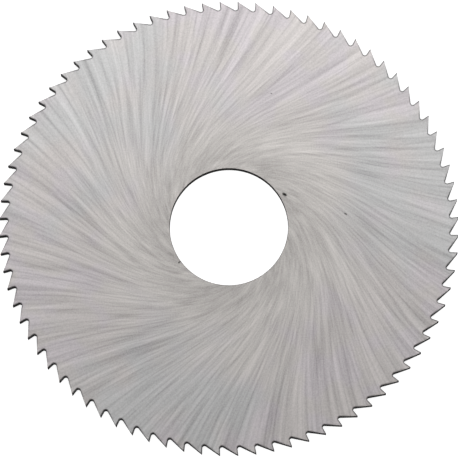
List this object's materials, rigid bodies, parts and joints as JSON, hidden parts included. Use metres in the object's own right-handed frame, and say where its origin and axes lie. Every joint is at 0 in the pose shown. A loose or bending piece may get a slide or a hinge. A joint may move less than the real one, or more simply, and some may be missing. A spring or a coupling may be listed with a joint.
{
  "type": "slitting saw",
  "caption": "Thin round saw blade with fine angular teeth round its rim and a plain central bore, clamped on an arbor to cut narrow slots in metal.",
  "frame": {"origin": "centre of the bore, halfway through the thickness", "axes": "+Z along the bore's axis, away from the face from which the teeth cut anticlockwise; one tooth has its tip on +X"},
  "size_m": [0.0622, 0.0622, 0.0016],
  "materials": {
    "ground_steel": "satin, swirl-ground"
  },
  "bodies": {
    "root": {"saw_blade": "ground_steel"}
  },
  "joints": []
}
